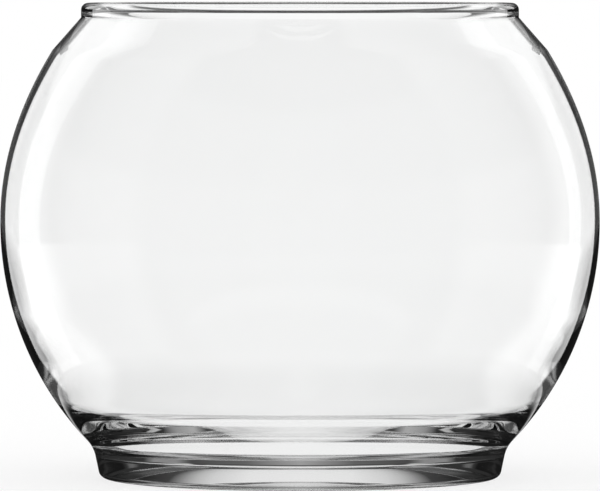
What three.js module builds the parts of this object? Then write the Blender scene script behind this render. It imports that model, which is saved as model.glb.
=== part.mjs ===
// Glass flower bowl: a footed bubble bowl of clear soda-lime glass.
// Millimetres, +Z up. The origin is on the axis, on the plane that the foot rests on.
// The one piece of glass is modelled as its three formed parts, which meet on flat planes:
// the fire-polished rim bead, the blown bowl and the pressed foot.

import * as THREE from 'three';

// Outside of the bowl
const bowlRadius = 76.2; // at the widest ring
const bowlHeight = 120.7; // from the resting plane to the top of the rim
const equatorHeight = 65.2; // of the widest ring
const bendRadius = 62.9; // where the bubble turns into the straight shoulder
const bendHeight = 108.7;

// Thickness of the wall, square to its outside
const heelWall = 2.2; // where the heel starts to thicken
const equatorWall = 1.2; // at the widest ring
const bendWall = 1.5; // where the shoulder starts

// Inside of the bottom
const heelHeight = 41.8; // of the outside where the heel starts to thicken
const floorHeight = 10.8; // of the glass floor's edge
const floorRadius = 46.3; // where the cove starts to climb
const floorRise = 0.1; // of the floor's middle over its edge
const coveSlopes = [[0, 0], [1.2, 28.6], [3.5, 32.7], [7, 36.4], [12, 38.7], [18, 61]]; // way, degrees

// Rim bead
const beadHeight = 3.7;
const beadRadius = 55.6; // outside
const mouthRadius = 51.9; // inside
const mouthHeight = 1.65; // of the mouth's upright inside
const ledgeRadius = 53.1; // of the ledge's foot, under the mouth
const ledgeDrop = 0.55; // of the ledge towards its foot
const neckRadius = 53.7; // inside of the shoulder where the bead starts
const beadRounding = 1.75; // of its outer upper edge
const lipRounding = 0.3; // of its inner upper edge
const mouthRounding = 1; // of its inner lower edge
const ledgeRounding = 0.2; // of the ledge's foot

// Foot
const seatHeight = 9.7; // of the plane where the bowl and the foot join
const seatRadius = 54.3; // of the waist on that plane
const waistFillet = 9; // radius of the hollow waist
const footTaper = 11.8; // degrees from upright, narrower at the bottom
const footRounding = 2; // of the lower edge
const hollowRadius = 36.2; // of the shallow hollow underneath
const hollowDepth = 4.1;

// Steps of the turned surfaces
const turnSteps = 64;
const lowerSteps = 12;
const upperSteps = 8;
const coveSteps = 12;
const swingSteps = 6;
const hollowSteps = 6;
const floorSteps = 2;
const roundSteps = 4;

// Sizes that follow from the ones above
const beadSeat = bowlHeight - beadHeight;
const lowerDepth = (equatorHeight - seatHeight) / Math.sqrt(1 - (seatRadius / bowlRadius) ** 2);
const seatAngle = Math.asin((equatorHeight - seatHeight) / lowerDepth);
const heelAngle = Math.asin((equatorHeight - heelHeight) / lowerDepth);

function point(r, z) {
  return new THREE.Vector2(r, z);
}

// Points along a round stretch between two angles in degrees, counted from +r towards +z.
function arc(r, z, radius, from, to) {
  const start = THREE.MathUtils.degToRad(from);
  const end = THREE.MathUtils.degToRad(to);
  return new THREE.EllipseCurve(r, z, radius, radius, start, end, end < start).getPoints(roundSteps);
}

// Points of a shallow dome from its edge to the axis.
function dome(edgeRadius, edgeHeight, rise, steps) {
  const edge = point(edgeRadius, edgeHeight);
  const level = point(edgeRadius / 2, edgeHeight + rise);
  const middle = point(0, edgeHeight + rise);
  return new THREE.QuadraticBezierCurve(edge, level, middle).getPoints(steps);
}

// Points round the corner between two straight stretches.
function roundedCorner(before, corner, after, radius) {
  const back = before.clone().sub(corner).normalize();
  const ahead = after.clone().sub(corner).normalize();
  const half = back.angleTo(ahead) / 2;
  const towards = back.clone().add(ahead).normalize();
  const centre = corner.clone().addScaledVector(towards, radius / Math.sin(half));
  const reach = radius / Math.tan(half);
  const start = corner.clone().addScaledVector(back, reach).sub(centre);
  const end = corner.clone().addScaledVector(ahead, reach).sub(centre);
  const points = [];
  for (let i = 0; i <= roundSteps; i += 1) {
    points.push(start.clone().lerp(end, i / roundSteps).setLength(radius).add(centre));
  }
  return points;
}

// The outside of the bubble, in stretches from the foot's seat up to the bend of the shoulder.
const belowHeel = new THREE.EllipseCurve(
  0, equatorHeight, bowlRadius, lowerDepth, -seatAngle, -heelAngle,
);
const belowEquator = new THREE.EllipseCurve(
  0, equatorHeight, bowlRadius, lowerDepth, -heelAngle, 0,
);
const aboveEquator = new THREE.QuadraticBezierCurve(
  point(bowlRadius, equatorHeight),
  point(bowlRadius, (equatorHeight + bendHeight) / 2),
  point(bendRadius, bendHeight),
);

// A stretch of the wall's inside, from its upper end down: the outside moved square to itself.
function insideOf(curve, wallBelow, wallAbove, steps) {
  const points = [];
  for (let i = steps; i >= 0; i -= 1) {
    const share = i / steps;
    const outside = curve.getPoint(share);
    const along = curve.getTangent(share);
    const wall = THREE.MathUtils.lerp(wallBelow, wallAbove, THREE.MathUtils.smoothstep(share, 0, 1));
    points.push(point(outside.x - along.y * wall, outside.y + along.x * wall));
  }
  return points;
}

// The slope of the cove at a way along it, in radians.
function coveSlope(way) {
  const next = coveSlopes.findIndex(([end]) => way <= end);
  const [startWay, startSlope] = coveSlopes[next - 1];
  const [endWay, endSlope] = coveSlopes[next];
  const slope = THREE.MathUtils.mapLinear(way, startWay, endWay, startSlope, endSlope);
  return THREE.MathUtils.degToRad(slope);
}

// The cove between the floor and the wall, from the floor up.
function cove() {
  const [length] = coveSlopes.at(-1);
  const fine = 4;
  const step = length / coveSteps / fine;
  const place = point(floorRadius, floorHeight);
  const points = [place.clone()];
  for (let i = 0; i < coveSteps * fine; i += 1) {
    const slope = coveSlope((i + 0.5) * step);
    place.x += Math.cos(slope) * step;
    place.y += Math.sin(slope) * step;
    if (i % fine === fine - 1) {
      points.push(place.clone());
    }
  }
  return points;
}

// The thick heel's inside, which leaves the wall and the cove along their own slopes.
function swing(wallPoint, along, top) {
  const slope = coveSlope(coveSlopes.at(-1)[0]);
  const reach = 0.35 * wallPoint.distanceTo(top);
  const upper = wallPoint.clone().addScaledVector(along, -reach);
  const lower = point(top.x + Math.cos(slope) * reach, top.y + Math.sin(slope) * reach);
  return new THREE.CubicBezierCurve(wallPoint, upper, lower, top).getPoints(swingSteps);
}

// Turns a profile about +Z. Profiles run out along their underside, up the outside and back.
function turned(name, profile) {
  const geometry = new THREE.LatheGeometry(profile, turnSteps);
  geometry.rotateX(Math.PI / 2);
  const clearGlass = new THREE.MeshStandardMaterial({
    color: 0xeef1f0,
    roughness: 0.03,
    metalness: 0,
    transparent: true,
    opacity: 0.35,
  });
  const mesh = new THREE.Mesh(geometry, clearGlass);
  mesh.name = name;
  return mesh;
}

function bowl() {
  const outside = [
    point(seatRadius, seatHeight),
    ...belowHeel.getPoints(lowerSteps / 2).slice(1),
    ...belowEquator.getPoints(lowerSteps / 2).slice(1),
    ...aboveEquator.getPoints(upperSteps).slice(1),
    point(beadRadius, beadSeat),
  ];
  const inside = [
    point(neckRadius, beadSeat),
    ...insideOf(aboveEquator, equatorWall, bendWall, upperSteps),
    ...insideOf(belowEquator, heelWall, equatorWall, lowerSteps / 2).slice(1, -1),
  ];
  const [wallPoint] = insideOf(belowEquator, heelWall, equatorWall, 1).slice(-1);
  const climb = cove().reverse();
  const heel = swing(wallPoint, belowEquator.getTangent(0), climb[0]);
  const floor = dome(floorRadius, floorHeight, floorRise, floorSteps).slice(1);
  return turned('bowl', [
    point(0, seatHeight),
    ...outside,
    ...inside,
    ...heel,
    ...climb.slice(1),
    ...floor,
  ]);
}

function rimBead() {
  const topOutside = point(beadRadius, bowlHeight);
  const topInside = point(mouthRadius, bowlHeight);
  const mouthFoot = point(mouthRadius, bowlHeight - mouthHeight);
  const ledgeFoot = point(ledgeRadius, mouthFoot.y - ledgeDrop);
  const outerSeat = point(beadRadius, beadSeat);
  const innerSeat = point(neckRadius, beadSeat);
  return turned('rim_bead', [
    innerSeat,
    outerSeat,
    ...roundedCorner(outerSeat, topOutside, topInside, beadRounding),
    ...roundedCorner(topOutside, topInside, mouthFoot, lipRounding),
    ...roundedCorner(topInside, mouthFoot, ledgeFoot, mouthRounding),
    ...roundedCorner(mouthFoot, ledgeFoot, innerSeat, ledgeRounding),
    innerSeat,
  ]);
}

function foot() {
  const taper = THREE.MathUtils.degToRad(footTaper);
  const along = belowHeel.getTangent(0);
  const waistAngle = Math.atan2(along.x, along.y);

  // The hollow waist turns from the bubble's slope to the tapered side.
  const waistRadius = seatRadius + waistFillet * Math.cos(waistAngle);
  const waistHeight = seatHeight - waistFillet * Math.sin(waistAngle);
  const fromBubble = 180 - THREE.MathUtils.radToDeg(waistAngle);
  const waist = arc(waistRadius, waistHeight, waistFillet, 180 - footTaper, fromBubble);

  // The side runs down from the waist to where the lower edge turns in.
  const edgeTop = footRounding * (1 - Math.sin(taper));
  const sideRadius = waist[0].x - Math.tan(taper) * (waist[0].y - edgeTop);
  const edgeRadius = sideRadius - footRounding * Math.cos(taper);

  return turned('foot', [
    ...dome(hollowRadius, 0, hollowDepth, hollowSteps).reverse(),
    ...arc(edgeRadius, footRounding, footRounding, -90, -footTaper),
    ...waist.slice(0, -1),
    point(seatRadius, seatHeight),
    point(0, seatHeight),
  ]);
}

const glassFlowerBowl = new THREE.Group();
glassFlowerBowl.add(foot(), bowl(), rimBead());

export default glassFlowerBowl;
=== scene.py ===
import math

import bpy
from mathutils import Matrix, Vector


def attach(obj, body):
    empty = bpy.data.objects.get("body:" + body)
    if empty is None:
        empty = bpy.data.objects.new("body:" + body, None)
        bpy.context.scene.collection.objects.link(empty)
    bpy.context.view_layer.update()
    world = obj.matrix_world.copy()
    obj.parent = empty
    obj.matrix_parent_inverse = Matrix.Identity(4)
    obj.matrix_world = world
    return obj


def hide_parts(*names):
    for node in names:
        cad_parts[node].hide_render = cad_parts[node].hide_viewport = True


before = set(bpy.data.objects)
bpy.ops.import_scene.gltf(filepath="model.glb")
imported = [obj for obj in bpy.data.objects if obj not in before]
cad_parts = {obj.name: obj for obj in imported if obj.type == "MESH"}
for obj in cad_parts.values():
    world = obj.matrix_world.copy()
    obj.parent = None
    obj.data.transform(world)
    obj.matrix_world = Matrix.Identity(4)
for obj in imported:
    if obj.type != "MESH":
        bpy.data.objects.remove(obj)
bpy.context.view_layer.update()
print("frame loaded")

# The section of the glass is in millimetres, as the solids are.

bowl = {
    "radius": 76.2,  # at the widest ring
    "height": 120.7,
    "widestHeight": 65.2,
    "bendRadius": 62.9,  # where the bubble turns into the straight shoulder
    "bendHeight": 108.7,
    "widestWall": 1.2,
    "bendWall": 1.5,
    "heelWall": 2.2,
    "heelHeight": 41.8,  # of the outside where the heel starts to thicken
    "heelReach": 0.35,  # share of its span over which the heel's swing keeps each end's slope
    # way from the floor's edge up the cove, and its slope there in degrees
    "coveSlopes": [(0, 0), (1.2, 28.6), (3.5, 32.7), (7, 36.4), (12, 38.7), (18, 61)],
    "floorHeight": 10.8,
    "floorRadius": 46.3,
    "floorRise": 0.1,  # of the floor's middle over its edge
}

bead = {
    "height": 3.7,
    "radius": 55.6,
    "rounding": 1.75,  # of its outer upper edge
    "mouthRadius": 51.9,
    "mouthHeight": 1.65,  # of the mouth's upright inside
    "lipRounding": 0.3,
    "mouthRounding": 1.0,  # of the edge under the mouth
    "ledgeRadius": 53.1,  # where the ledge under the mouth ends
    "ledgeDrop": 0.55,
    "ledgeRounding": 0.2,
    "neckRadius": 53.7,  # inside of the shoulder where the bead starts
}

foot = {
    "seatHeight": 9.7,  # where the bubble's curve runs into the waist
    "seatRadius": 54.3,
    "waistFillet": 9.0,
    "taper": 11.8,  # degrees from upright
    "rounding": 2.0,
    "hollowRadius": 36.2,  # of the shallow hollow underneath
    "hollowDepth": 4.1,
}

# how many steps draw each stretch of the section, and how it is turned
drawing = {
    "hollow": 24,
    "hollowCrowding": 1.3,  # over 1 brings the steps closer together near the hollow's edge
    "footRound": 12,
    "lowerSide": 48,
    "upperSide": 32,
    "shoulder": 5,
    "beadRound": 8,
    "lowerInside": 28,
    "swing": 24,
    "cove": 48,
    "floor": 24,
    "turn": 256,
    "seed": 0.001,  # size of the plane that is merged into the first point
    "shortest": 1e-6,  # metres between two points that are drawn
    "mergeWithin": 2e-6,
    "creaseAngle": 26,  # degrees past which a turn of the surface stays an edge
}

# the upright half axis of the ellipse below the widest ring, and the angle where the foot starts
waistShare = foot["seatRadius"] / bowl["radius"]
lowerDepth = (bowl["widestHeight"] - foot["seatHeight"]) / math.sqrt(1 - waistShare ** 2)
seatAngle = math.acos(waistShare)
heelAngle = math.asin((bowl["widestHeight"] - bowl["heelHeight"]) / lowerDepth)
beadSeat = bowl["height"] - bead["height"]


def roundStretch(middle, radius, start, end, steps):
    turn = [math.radians(start + (end - start) * i / steps) for i in range(steps + 1)]
    return [(middle[0] + radius * math.cos(a), middle[1] + radius * math.sin(a)) for a in turn]


def straightStretch(start, end, steps):
    # without its first point
    across, rise = end[0] - start[0], end[1] - start[1]
    shares = [i / steps for i in range(1, steps + 1)]
    return [(start[0] + across * share, start[1] + rise * share) for share in shares]


def lowerSide(angle):
    # a place on the ellipse below the widest ring, and which way the ellipse runs there
    place = (bowl["radius"] * math.cos(angle), bowl["widestHeight"] - lowerDepth * math.sin(angle))
    return place, (bowl["radius"] * math.sin(angle), lowerDepth * math.cos(angle))


def upperSide(share):
    # the same for the curve from the widest ring, at 0, to the bend of the shoulder, at 1
    low, high = bowl["widestHeight"], bowl["bendHeight"]
    middle = (low + high) / 2
    inward = bowl["bendRadius"] - bowl["radius"]
    rise = (1 - share) ** 2 * low + 2 * share * (1 - share) * middle + share ** 2 * high
    climb = 2 * (1 - share) * (middle - low) + 2 * share * (high - middle)
    return (bowl["radius"] + share ** 2 * inward, rise), (2 * share * inward, climb)


def insideOf(place, along, wall, share):
    # the wall's thickness goes smoothly from the widest ring's to the one named, at a share of 1
    ease = share * share * (3 - 2 * share)
    thick = bowl["widestWall"] + (bowl[wall] - bowl["widestWall"]) * ease
    length = math.hypot(*along)
    return place[0] - along[1] / length * thick, place[1] + along[0] / length * thick


def hollowUnder():
    # from the axis out to its edge
    steps = drawing["hollow"]
    shares = [1 - (1 - i / steps) ** drawing["hollowCrowding"] for i in range(steps + 1)]
    return [(foot["hollowRadius"] * s, foot["hollowDepth"] * (1 - s ** 2)) for s in shares]


def footSide():
    # from the edge that stands on the table up to the seat of the bubble
    along = lowerSide(seatAngle)[1]
    lean = math.atan2(along[0], along[1])
    taper = math.radians(foot["taper"])
    fillet, edge, steps = foot["waistFillet"], foot["rounding"], drawing["footRound"]
    waistRadius = foot["seatRadius"] + fillet * math.cos(lean)
    waistHeight = foot["seatHeight"] - fillet * math.sin(lean)
    waist = roundStretch((waistRadius, waistHeight), fillet, 180 - foot["taper"],
                         180 - math.degrees(lean), steps)
    sideFoot = waist[0][0] - math.tan(taper) * (waist[0][1] - edge * (1 - math.sin(taper)))
    edgeRadius = sideFoot - edge * math.cos(taper)
    return roundStretch((edgeRadius, edge), edge, -90, -foot["taper"], steps) + waist


def outerWall():
    # from the foot's seat up over the widest ring and the shoulder to the bead
    lower, upper = drawing["lowerSide"], drawing["upperSide"]
    points = [lowerSide(seatAngle * (1 - i / lower))[0] for i in range(1, lower + 1)]
    points += [upperSide(i / upper)[0] for i in range(1, upper + 1)]
    bend = (bowl["bendRadius"], bowl["bendHeight"])
    return points + straightStretch(bend, (bead["radius"], beadSeat), drawing["shoulder"])


def roundedCorner(before, corner, after, radius):
    # a round stretch in place of the corner between two straight ones
    corner = Vector(corner)
    back = (Vector(before) - corner).normalized()
    ahead = (Vector(after) - corner).normalized()
    half = back.angle(ahead) / 2
    middle = corner + (back + ahead).normalized() * radius / math.sin(half)
    start, end = (corner + side * radius / math.tan(half) - middle for side in (back, ahead))
    shares = [i / drawing["beadRound"] for i in range(drawing["beadRound"] + 1)]
    return [tuple(middle + start.lerp(end, s).normalized() * radius) for s in shares]


def rimBead():
    # up its outside, over the lip and down to the neck
    top = bowl["height"]
    mouthFoot = (bead["mouthRadius"], top - bead["mouthHeight"])
    ledgeFoot = (bead["ledgeRadius"], mouthFoot[1] - bead["ledgeDrop"])
    corners = [(bead["radius"], beadSeat), (bead["radius"], top), (bead["mouthRadius"], top),
               mouthFoot, ledgeFoot, (bead["neckRadius"], beadSeat)]
    points = []
    for i, edge in enumerate(("rounding", "lipRounding", "mouthRounding", "ledgeRounding")):
        points += roundedCorner(*corners[i:i + 3], bead[edge])
    return points + [corners[-1]]


def innerWall():
    # from the bead down to where the heel starts, and which way the outside runs there
    upper, lower = drawing["upperSide"], drawing["lowerInside"]
    wall = []
    for i in range(upper, -1, -1):
        place, along = upperSide(i / upper)
        wall.append(insideOf(place, along, "bendWall", i / upper))
    neck = straightStretch((bead["neckRadius"], beadSeat), wall[0], drawing["shoulder"])
    for i in range(1, lower + 1):
        place, along = lowerSide(heelAngle * i / lower)
        wall.append(insideOf(place, along, "heelWall", i / lower))
    return neck[:-1] + wall, along


def slopeAt(way):
    # of the cove, in radians
    stops = bowl["coveSlopes"]
    for (w0, s0), (w1, s1) in zip(stops, stops[1:]):
        if way <= w1:
            return math.radians(s0 + (s1 - s0) * (way - w0) / (w1 - w0))
    return math.radians(stops[-1][1])


def coveUp():
    # climbs from the floor's edge, slope by slope
    whole = bowl["coveSlopes"][-1][0]
    step = whole / drawing["cove"]
    points = [(bowl["floorRadius"], bowl["floorHeight"])]
    for i in range(drawing["cove"]):
        slope = slopeAt((i + 0.5) * step)
        r, z = points[-1]
        points.append((r + math.cos(slope) * step, z + math.sin(slope) * step))
    return points, slopeAt(whole)


def heelSwing(start, along, end, slope):
    # a curve that leaves the wall and meets the cove along their own slopes
    reach = bowl["heelReach"] * math.hypot(start[0] - end[0], start[1] - end[1])
    length = math.hypot(*along)
    first = (start[0] - along[0] / length * reach, start[1] - along[1] / length * reach)
    second = (end[0] + math.cos(slope) * reach, end[1] + math.sin(slope) * reach)
    points = []
    for i in range(1, drawing["swing"] + 1):
        s = i / drawing["swing"]
        weights = ((1 - s) ** 3, 3 * (1 - s) ** 2 * s, 3 * (1 - s) * s ** 2, s ** 3)
        pulls = list(zip(weights, (start, first, second, end)))
        points.append(tuple(sum(w * place[axis] for w, place in pulls) for axis in (0, 1)))
    return points


def glassFloor():
    # from the cove's foot in to the axis
    shares = [1 - i / drawing["floor"] for i in range(1, drawing["floor"] + 1)]
    height, rise = bowl["floorHeight"], bowl["floorRise"]
    return [(bowl["floorRadius"] * s, height + rise * (1 - s ** 2)) for s in shares]


def glassSection():
    # from the axis out along the underside, up the outside, over the rim and back to the axis
    outside = hollowUnder() + footSide() + outerWall()
    inside, along = innerWall()
    cove, slope = coveUp()
    heel = heelSwing(inside[-1], along, cove[-1], slope)
    return outside + rimBead() + inside + heel + cove[-2::-1] + glassFloor()


def turnGlass():
    # the section is drawn point by point beside the axis and spun round it
    section = [(r / 1000, z / 1000) for r, z in glassSection()]
    bpy.ops.object.select_all(action="DESELECT")
    bpy.ops.mesh.primitive_plane_add(size=drawing["seed"], location=(0, 0, 0))
    piece = bpy.context.object
    piece.name = piece.data.name = "glass_bowl"
    bpy.ops.object.mode_set(mode="EDIT")
    bpy.ops.mesh.select_all(action="SELECT")
    bpy.ops.mesh.merge(type="CENTER")
    bpy.ops.transform.translate(value=(section[0][0], 0, section[0][1]))
    for (r0, z0), (r1, z1) in zip(section, section[1:]):
        if math.hypot(r1 - r0, z1 - z0) > drawing["shortest"]:
            step = {"value": (r1 - r0, 0, z1 - z0)}
            bpy.ops.mesh.extrude_region_move(TRANSFORM_OT_translate=step)
    bpy.ops.mesh.select_all(action="SELECT")
    bpy.ops.mesh.spin(steps=drawing["turn"], angle=2 * math.pi, center=(0, 0, 0), axis=(0, 0, 1))
    bpy.ops.mesh.select_all(action="SELECT")
    bpy.ops.mesh.remove_doubles(threshold=drawing["mergeWithin"])
    bpy.ops.mesh.normals_make_consistent(inside=False)
    bpy.ops.object.mode_set(mode="OBJECT")
    bpy.ops.object.shade_smooth_by_angle(angle=math.radians(drawing["creaseAngle"]))
    return piece


def addNode(tree, kind, values=None, **settings):
    # a value that is itself a socket is linked
    node = tree.nodes.new(kind)
    for name, value in settings.items():
        setattr(node, name, value)
    for name, value in (values or {}).items():
        if isinstance(value, bpy.types.NodeSocket):
            tree.links.new(value, node.inputs[name])
        else:
            node.inputs[name].default_value = value
    return node


def calculate(tree, operation, *values):
    return addNode(tree, "ShaderNodeMath", dict(enumerate(values)), operation=operation).outputs[0]


def fade(tree, value, ends, low, high):
    # a soft step from low to high between the two ends
    sockets = {"Value": value, "From Min": ends[0], "From Max": ends[1]}
    sockets |= {"To Min": low, "To Max": high}
    step = addNode(tree, "ShaderNodeMapRange", sockets, interpolation_type="SMOOTHSTEP")
    return step.outputs["Result"]


def blend(tree, factor, low, high):
    sockets = {"Factor": factor, "A": low, "B": high}
    return addNode(tree, "ShaderNodeMix", sockets).outputs["Result"]


glass = {
    "ior": 1.51,
    "palest": (1.0, 1.0, 1.0, 1),
    "deepest": (0.985, 0.99, 0.988, 1),
    "driftScale": 18,  # of the faint change between the two
    "driftDetail": 2,
    "absorption": 1.5,  # per metre of glass
    "waveHeight": 0.00001,  # of the waviness that moulding and fire polishing leave
    "waveScale": 45,
    "waveDetail": 1,
}


def noise(tree, place, kind):
    sockets = {"Vector": place, "Scale": glass[kind + "Scale"], "Detail": glass[kind + "Detail"]}
    return addNode(tree, "ShaderNodeTexNoise", sockets).outputs["Fac"]


def clearGlass():
    material = bpy.data.materials.new("clear_glass")
    material.use_nodes = True
    tree = material.node_tree
    shader = tree.nodes["Principled BSDF"]
    place = addNode(tree, "ShaderNodeTexCoord").outputs["Object"]
    drift = {"Factor": noise(tree, place, "drift")}
    tint = addNode(tree, "ShaderNodeMix", drift, data_type="RGBA")
    tint.inputs["A"].default_value = glass["palest"]
    tint.inputs["B"].default_value = glass["deepest"]
    tree.links.new(tint.outputs["Result"], shader.inputs["Base Color"])
    wave = {"Height": noise(tree, place, "wave"), "Distance": glass["waveHeight"]}
    bump = addNode(tree, "ShaderNodeBump", wave)
    tree.links.new(bump.outputs["Normal"], shader.inputs["Normal"])
    shader.inputs["Roughness"].default_value = 0
    shader.inputs["IOR"].default_value = glass["ior"]
    shader.inputs["Transmission Weight"].default_value = 1
    depth = addNode(tree, "ShaderNodeVolumeAbsorption", {"Density": glass["absorption"]})
    depth.inputs["Color"].default_value = (0, 0, 0, 1)
    tree.links.new(depth.outputs[0], tree.nodes["Material Output"].inputs["Volume"])
    return material


glassBowl = turnGlass()
glassBowl.data.materials.append(clearGlass())
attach(glassBowl, "root")
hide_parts("foot", "bowl", "rim_bead")
print("glass turned,", len(glassBowl.data.polygons), "faces")

table = {
    "size": 12,
    "pale": 0.3,  # share of white that is the paint's own
}


def whiteTable():
    bpy.ops.object.select_all(action="DESELECT")
    bpy.ops.mesh.primitive_plane_add(size=table["size"], location=(0, 0, 0))
    top = bpy.context.object
    top.name = "table_top"
    material = bpy.data.materials.new("white_table")
    material.use_nodes = True
    tree = material.node_tree
    tree.nodes.clear()
    # the paint takes the bowl's shadow, and what it lacks to white is added for what looks at it
    paint = addNode(tree, "ShaderNodeBsdfDiffuse", {"Color": (table["pale"],) * 3 + (1,)})
    rays = addNode(tree, "ShaderNodeLightPath").outputs
    seen = calculate(tree, "MAXIMUM", rays["Is Camera Ray"], rays["Is Glossy Ray"])
    seen = calculate(tree, "MAXIMUM", seen, rays["Is Transmission Ray"])
    missing = calculate(tree, "MULTIPLY", seen, 1 - table["pale"])
    glow = addNode(tree, "ShaderNodeEmission", {"Strength": missing})
    both = addNode(tree, "ShaderNodeAddShader", {0: paint.outputs[0], 1: glow.outputs[0]})
    addNode(tree, "ShaderNodeOutputMaterial", {"Surface": both.outputs[0]})
    top.data.materials.append(material)
    top.visible_transmission = False  # the glass looks at the room's own white below the horizon
    top.visible_glossy = False


whiteTable()
print("table laid")

# The glass sees the room by direction and by how often it has turned a ray. A list of levels goes
# by degrees round from the back, alike to both sides, where its note says nothing else. Pairs
# that end in From are the degrees up between which something sets in.
room = {
    # by degrees from the middle of the nearest of four backdrops to the corner between two
    "backdrop": [(0, 1), (10, 0.97), (18, 0.78), (22, 0.6), (27, 0.28), (31, 0.06), (45, 0.02)],
    "backdropFrom": (2, 7),  # over the white of the table
    "ceilingFrom": (53, 61),
    "ceiling": 0.02,
    # by degrees round from the back, more than 0 to the right
    "mirrored": [(-180, 1), (-120, 1), (-112, 1.7), (-62, 1.7), (-60.5, 2.4), (-43.5, 2.4),
                 (-42, 1.7), (42, 1.7), (43.5, 2.4), (53.5, 2.4), (55, 1.7), (112, 1.7),
                 (120, 1), (180, 1)],
    "steepFrom": (12, 20),  # up or down
    "steep": 0.8,  # what is left of the mirrored levels there
    # half width in degrees of the dark flag at the back, which draws the outline, by degrees up
    "flagHalf": [(-90, 45), (-41, 44.1), (-30, 38.4), (-22, 34.2), (-18, 30.3), (-14, 26.4),
                 (-10, 25.5), (-5, 24), (0, 23.1), (90, 22.5)],
    "flagWidest": 90,  # above every half width
    "flagSoft": 1,  # degrees on both sides of its edge
    "flag": 0.01,
    # a light over the backdrop, which only mirrored rays see
    "overhead": [(0, 1), (18.5, 1), (19.5, 0.25), (22.5, 0.25), (23, 0), (180, 0)],
    "overheadFrom": (6, 19),
    "overheadLevel": 0.8,
    "overheadEnd": (14, 18),  # degrees up between which what is turned once loses it again
    # rows from the ground up, each with the degrees up between which it takes over from the last
    "turnedOnce": [
        (-90, -90, [(0, 0.95), (60, 0.95), (90, 0.4), (120, 0.4), (130, 0.6), (180, 0.6)]),
        (-20, -17.5, [(0, 0.4), (10, 0.15), (14, 0.08), (28, 0.1), (33, 0.15), (37, 1), (60, 1),
                      (90, 0.4), (180, 0.4)]),
        (-12, -9, [(0, 0.42), (10, 0.15), (22, 0.08), (26, 0.3), (33, 0.3), (37, 0.04),
                   (112, 0.02), (120, 0.4), (180, 0.4)]),
        (3, 6, [(0, 0.03), (21.5, 0.03), (23, 0.6), (28, 0.3), (32, 0.08), (112, 0.02),
                (120, 0.4), (180, 0.4)]),
        (14, 18, [(0, 1), (40, 1), (55, 0.1), (112, 0.02), (120, 0.4), (180, 0.4)]),
        (43, 47, [(0, 0.1), (180, 0.1)]),
    ],
    "turnedOften": [
        (-90, -90, [(0, 0.9), (40, 0.9), (55, 0.02), (180, 0.02)]),
        (-26, -18, [(0, 0.85), (8, 0.7), (11, 0.1), (21, 0.1), (24, 0.75), (36, 0.4),
                    (46, 0.01), (180, 0.01)]),
        (-8, -4, [(0, 0.7), (4, 0.6), (6, 0.08), (19, 0.08), (22, 0.5), (27, 0.35), (31, 0.04),
                  (180, 0.01)]),
        (9, 14, [(0, 0.1), (7, 0.1), (10, 0.3), (18, 0.45), (25, 0.75), (41, 0.5), (47, 0.05),
                 (50, 0.01), (180, 0.01)]),
        (26, 32, [(0, 0.85), (25, 0.75), (41, 0.5), (47, 0.05), (50, 0.01), (180, 0.01)]),
    ],
    "farWall": [
        (-90, -90, [(0, 1), (48, 1), (62, 0.04), (180, 0.04)]),
        (25, 40, [(0, 0.5), (10, 0.5), (30, 0.1), (180, 0.1)]),
    ],
    "farWallAfter": 4,  # times through the surface of the glass
    "brightest": 3,  # above every level
    "shadow": 0.06,  # how much of what the glass holds back the table loses
}


def levelAt(tree, value, stops, most):
    # a ramp holds 0 to 1, along its length and in its levels
    start, end = stops[0][0], stops[-1][0]
    span = end - start
    share = calculate(tree, "MULTIPLY_ADD", value, 1 / span, -start / span)
    ramp = addNode(tree, "ShaderNodeValToRGB", {"Fac": share})
    elements = ramp.color_ramp.elements
    while len(elements) < len(stops):
        elements.new(0.5)
    for element, (place, level) in zip(elements, stops):
        element.position = (place - start) / span
        element.color = (level / most,) * 3 + (1,)
    return calculate(tree, "MULTIPLY", ramp.outputs["Color"], most)


def rowsAt(tree, side, up, rows):
    # each row takes over from the one below it
    level = levelAt(tree, side, rows[0][2], room["brightest"])
    for start, end, stops in rows[1:]:
        row = levelAt(tree, side, stops, room["brightest"])
        level = blend(tree, fade(tree, up, (start, end), 0, 1), level, row)
    return level


def atLeast(tree, count, times):
    return calculate(tree, "GREATER_THAN", count, times - 0.5)


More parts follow.
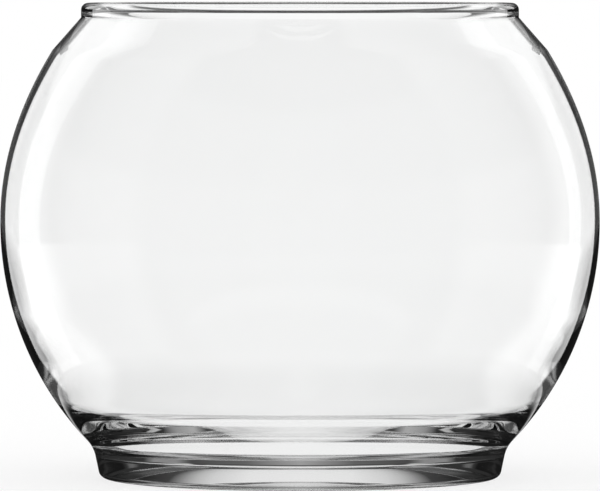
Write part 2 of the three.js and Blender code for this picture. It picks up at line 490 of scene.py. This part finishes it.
def studioRoom():
    world = bpy.data.worlds.new("studio_room")
    bpy.context.scene.world = world
    world.use_nodes = True
    tree = world.node_tree
    ray = addNode(tree, "ShaderNodeLightPath").outputs
    direction = addNode(tree, "ShaderNodeTexCoord").outputs["Generated"]
    way = addNode(tree, "ShaderNodeSeparateXYZ", {0: direction}).outputs
    up = calculate(tree, "DEGREES", calculate(tree, "ARCSINE", way["Z"]))
    turn = calculate(tree, "DEGREES", calculate(tree, "ARCTAN2", way["X"], way["Y"]))
    side = calculate(tree, "ABSOLUTE", turn)
    corner = room["backdrop"][-1][0]
    nearest = calculate(tree, "ABSOLUTE", calculate(tree, "WRAP", turn, corner, -corner))

    # straight through the glass: backdrops that fade towards the room's corners, a dark ceiling
    straight = levelAt(tree, nearest, room["backdrop"], room["brightest"])
    straight = blend(tree, fade(tree, up, room["backdropFrom"], 0, 1), 1.0, straight)
    ceiling = fade(tree, up, room["ceilingFrom"], 1, room["ceiling"])
    straight = calculate(tree, "MULTIPLY", straight, ceiling)

    # mirrored by the outside of the glass: the dark flag, pale sides and two tall windows
    overhead = levelAt(tree, side, room["overhead"], room["brightest"])
    rising = fade(tree, up, room["overheadFrom"], 0, room["overheadLevel"])
    overhead = calculate(tree, "MULTIPLY", overhead, rising)
    outer = levelAt(tree, turn, room["mirrored"], room["brightest"])
    flagHalf = levelAt(tree, up, room["flagHalf"], room["flagWidest"])
    past = calculate(tree, "SUBTRACT", side, flagHalf)
    flagEdge = (-room["flagSoft"], room["flagSoft"])
    outer = calculate(tree, "MULTIPLY", outer, fade(tree, past, flagEdge, room["flag"], 1))
    steep = fade(tree, calculate(tree, "ABSOLUTE", up), room["steepFrom"], 1, room["steep"])
    outer = calculate(tree, "MULTIPLY_ADD", outer, steep, overhead)

    # turned once inside the glass, past its far wall and back, and turned more often
    once = rowsAt(tree, side, up, room["turnedOnce"])
    ending = fade(tree, up, room["overheadEnd"], 1, 0)
    once = calculate(tree, "MULTIPLY_ADD", overhead, ending, once)
    beyond = rowsAt(tree, side, up, room["farWall"])
    often = rowsAt(tree, side, up, room["turnedOften"])

    through = ray["Transmission Depth"]
    once = blend(tree, atLeast(tree, through, room["farWallAfter"]), once, beyond)
    inside = blend(tree, atLeast(tree, ray["Glossy Depth"], 2), once, often)
    turned = blend(tree, atLeast(tree, through, 1), outer, inside)
    level = blend(tree, atLeast(tree, ray["Glossy Depth"], 1), straight, turned)

    # the camera sees plain white, and so does the table apart from a soft shadow
    shared = calculate(tree, "MINIMUM", ray["Diffuse Depth"], 1)
    level = blend(tree, calculate(tree, "MULTIPLY", shared, 1 - room["shadow"]), level, 1.0)
    glassOnly = calculate(tree, "MAXIMUM", ray["Is Glossy Ray"], ray["Is Transmission Ray"])
    level = blend(tree, glassOnly, 1.0, level)
    background = tree.nodes["Background"]
    background.inputs["Color"].default_value = (1, 1, 1, 1)
    tree.links.new(level, background.inputs["Strength"])


cards = {
    "footRadius": 0.105,  # of the dark card round the foot, a painted shadow of the foot on the table that only the glass's reflections see
    "footCorners": 96,
    "footUnder": 0.0002,  # below the table's top
    "footSoft": 0.02,  # how far in from its edge it fades
    "footShadowLevels": (0.01, 1),  # of the painted shadow's middle and its edge
    "sideSize": (0.037, 0.0055),  # width and height of the two dark cards beside the rim, which paint dark lines into the rim's reflections
    "sideAway": 0.075,  # from the axis
    "sidePast": 22,  # degrees towards the back from straight to the side
    "sideHeight": 0.1197,
    "sideLevels": (0.02, 0.02),
}


def paintedShadeCard(name, levels):
    # painted shade: only the glass's own mirror image of its surroundings sees it; it stands in
    # for the foot's shadow on the table and for dark reflections beside the rim
    card = bpy.context.object
    card.name = name
    material = bpy.data.materials.new(name)
    material.use_nodes = True
    tree = material.node_tree
    tree.nodes.clear()
    place = addNode(tree, "ShaderNodeTexCoord").outputs["Object"]
    away = addNode(tree, "ShaderNodeVectorMath", {0: place}, operation="LENGTH").outputs["Value"]
    soft = (cards["footRadius"] - cards["footSoft"], cards["footRadius"])
    # painted shade: a dark emission, which round the foot fades to its edge level
    glow = addNode(tree, "ShaderNodeEmission", {"Strength": fade(tree, away, soft, *levels)})
    addNode(tree, "ShaderNodeOutputMaterial", {"Surface": glow.outputs[0]})
    card.data.materials.append(material)
    card.visible_camera = card.visible_diffuse = False
    card.visible_transmission = card.visible_shadow = False


def paintedShadeCards():
    bpy.ops.object.select_all(action="DESELECT")
    # the card round the foot is a painted shadow on the table, seen only in the glass's
    # reflections
    bpy.ops.mesh.primitive_circle_add(vertices=cards["footCorners"], radius=cards["footRadius"],
                                      fill_type="NGON", location=(0, 0, -cards["footUnder"]))
    paintedShadeCard("painted_foot_shadow_card", cards["footShadowLevels"])
    # the two cards beside the rim are painted dark reflections, which only the glass's reflections
    # see
    for name, side in (("left_painted_reflection_card", 180 - cards["sidePast"]), ("right_painted_reflection_card", cards["sidePast"])):
        angle = math.radians(side)
        x, y = cards["sideAway"] * math.cos(angle), cards["sideAway"] * math.sin(angle)
        bpy.ops.object.select_all(action="DESELECT")
        bpy.ops.mesh.primitive_plane_add(size=1, location=(x, y, cards["sideHeight"]),
                                         rotation=(math.pi / 2, 0, angle + math.pi / 2))
        bpy.context.object.scale = (*cards["sideSize"], 1)
        bpy.ops.object.transform_apply(location=False, rotation=False)
        paintedShadeCard(name, cards["sideLevels"])


studioRoom()
paintedShadeCards()
print("room lit")

view = {
    "distance": 1.853,  # metres in front of the axis
    "height": 0.1327,
    "aim": 0.059,  # height of what it looks at, on the axis
    "pixelsPerMetre": 3931,  # there
    "width": 600,  # pixels
    "sensor": 36,
    "clip": (0.05, 50),
    "bounces": 24,  # enough for the light that runs round inside the heel and the rim
}


def placeCamera():
    drop = view["height"] - view["aim"]
    reach = math.hypot(view["distance"], drop)
    tilt = math.pi / 2 - math.atan2(drop, view["distance"])
    place = (0, -view["distance"], view["height"])
    bpy.ops.object.camera_add(location=place, rotation=(tilt, 0, 0))
    camera = bpy.context.object
    camera.data.sensor_width = view["sensor"]
    camera.data.lens = view["sensor"] / view["width"] * view["pixelsPerMetre"] * reach
    camera.data.clip_start, camera.data.clip_end = view["clip"]
    bpy.context.scene.camera = camera


placeCamera()
scene = bpy.context.scene
scene.view_settings.view_transform = "Standard"
scene.cycles.max_bounces = view["bounces"]
scene.cycles.glossy_bounces = view["bounces"]
scene.cycles.transmission_bounces = view["bounces"]
print("camera placed")
